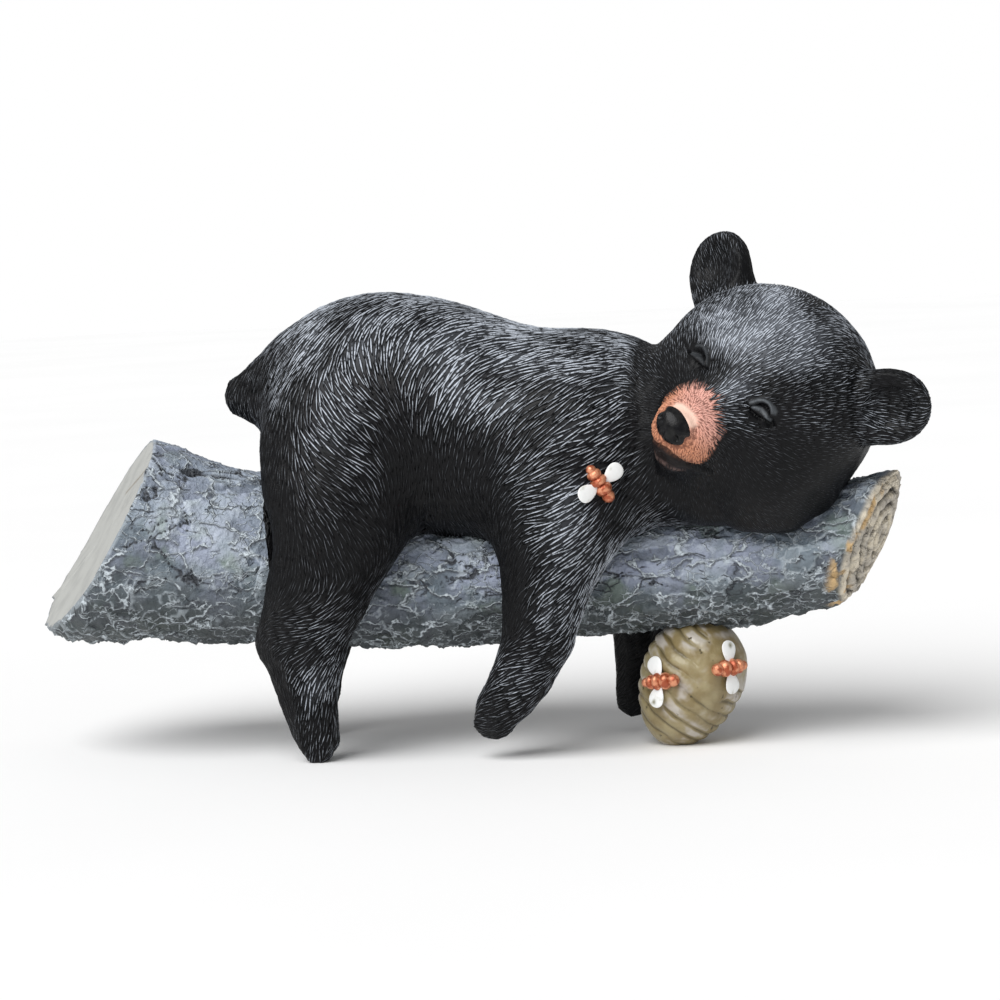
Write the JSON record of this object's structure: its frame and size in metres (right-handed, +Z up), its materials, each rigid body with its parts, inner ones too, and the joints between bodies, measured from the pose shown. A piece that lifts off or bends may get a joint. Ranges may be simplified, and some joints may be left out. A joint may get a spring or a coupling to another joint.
{
  "type": "resin bear tree hugger statue",
  "caption": "Cast resin statue of a bear cub asleep along a cut branch, with a coiled beehive and bees below; it stands on its hind paws and hive, or mounts by its flat trunk cut.",
  "frame": {"origin": "on the surface that the statue stands on, under the middle of its outline", "axes": "+X along the branch towards the ringed end and the bear's head, +Y away from the front view, +Z up"},
  "size_m": [0.3814, 0.1314, 0.2076],
  "materials": {
    "painted_fur": "near-black painted resin fur, grey dry-brushed on the stroke ridges, with a terracotta muzzle",
    "painted_bark": "slate blue-grey painted resin bark with pale ridges, a cream trunk cut and tan growth rings",
    "painted_hive": "satin khaki-tan painted resin coils",
    "painted_bee": "copper painted resin body with white wings"
  },
  "bodies": {
    "root": {"bear": "painted_fur", "branch": "painted_bark", "hive": "painted_hive", "bee_hive_left": "painted_bee", "bee_hive_right": "painted_bee", "bee_shoulder": "painted_bee"}
  },
  "joints": []
}
